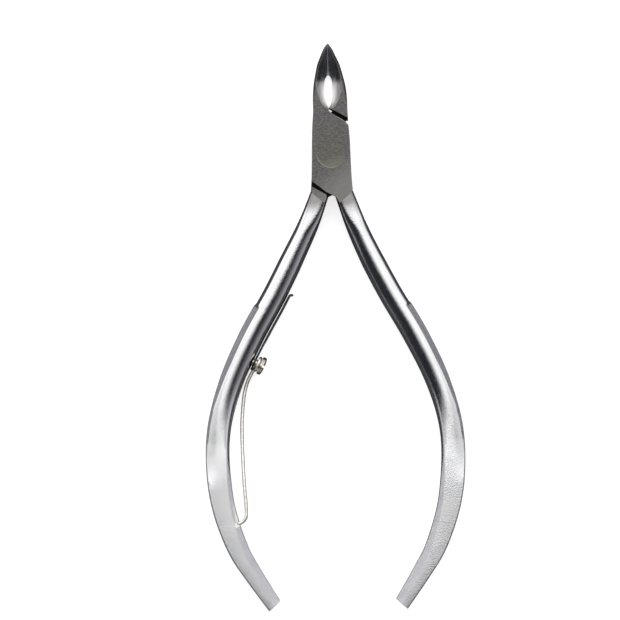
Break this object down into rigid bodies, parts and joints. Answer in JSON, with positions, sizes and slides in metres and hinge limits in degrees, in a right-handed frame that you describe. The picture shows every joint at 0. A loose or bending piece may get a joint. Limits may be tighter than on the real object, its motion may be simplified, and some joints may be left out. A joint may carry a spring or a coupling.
{
  "type": "cuticle nipper",
  "caption": "Slim hand nipper with pointed hollow-ground jaws, a flush-riveted half-lap joint, bowed satin steel handles and a swivelling wire return spring.",
  "frame": {"origin": "on the pivot axis, at the rear face of the joint, which lies on the table", "axes": "+Z along the pivot axis out of the front face, +Y towards the jaw tips, +X to the right seen from the front"},
  "size_m": [0.0467, 0.1021, 0.0058],
  "materials": {
    "satin_steel": "fine blasted satin plating, dull silver, with bare ground metal at the joint and jaws",
    "ground_steel": "surface-ground bare steel with fine cross-wise grinding lines",
    "wire_steel": "drawn spring wire, bright with a slightly warm cast",
    "blackened_steel": "dark hardened spring strip, semi-gloss",
    "nickel_steel": "warm nickel-plated turned screw"
  },
  "bodies": {
    "rear_half": {"rear_lever": "satin_steel", "pivot_rivet": "ground_steel", "spring_leaf": "blackened_steel", "spring_screw": "nickel_steel"},
    "front_half": {"front_lever": "satin_steel"},
    "return_spring": {"spring_wire": "wire_steel"}
  },
  "joints": [
    {"name": "jaw_pivot", "type": "hinge", "parent": "rear_half", "child": "front_half", "pos_m": [0, 0, 0.0029], "axis": [0, 0, 1], "range_deg": [0, 15]},
    {"name": "spring_swivel", "type": "hinge", "parent": "rear_half", "child": "return_spring", "pos_m": [-0.01479, -0.03735, 0.0029], "axis": [-0.8988, 0.4384, 0], "range_deg": [0, 169]}
  ]
}
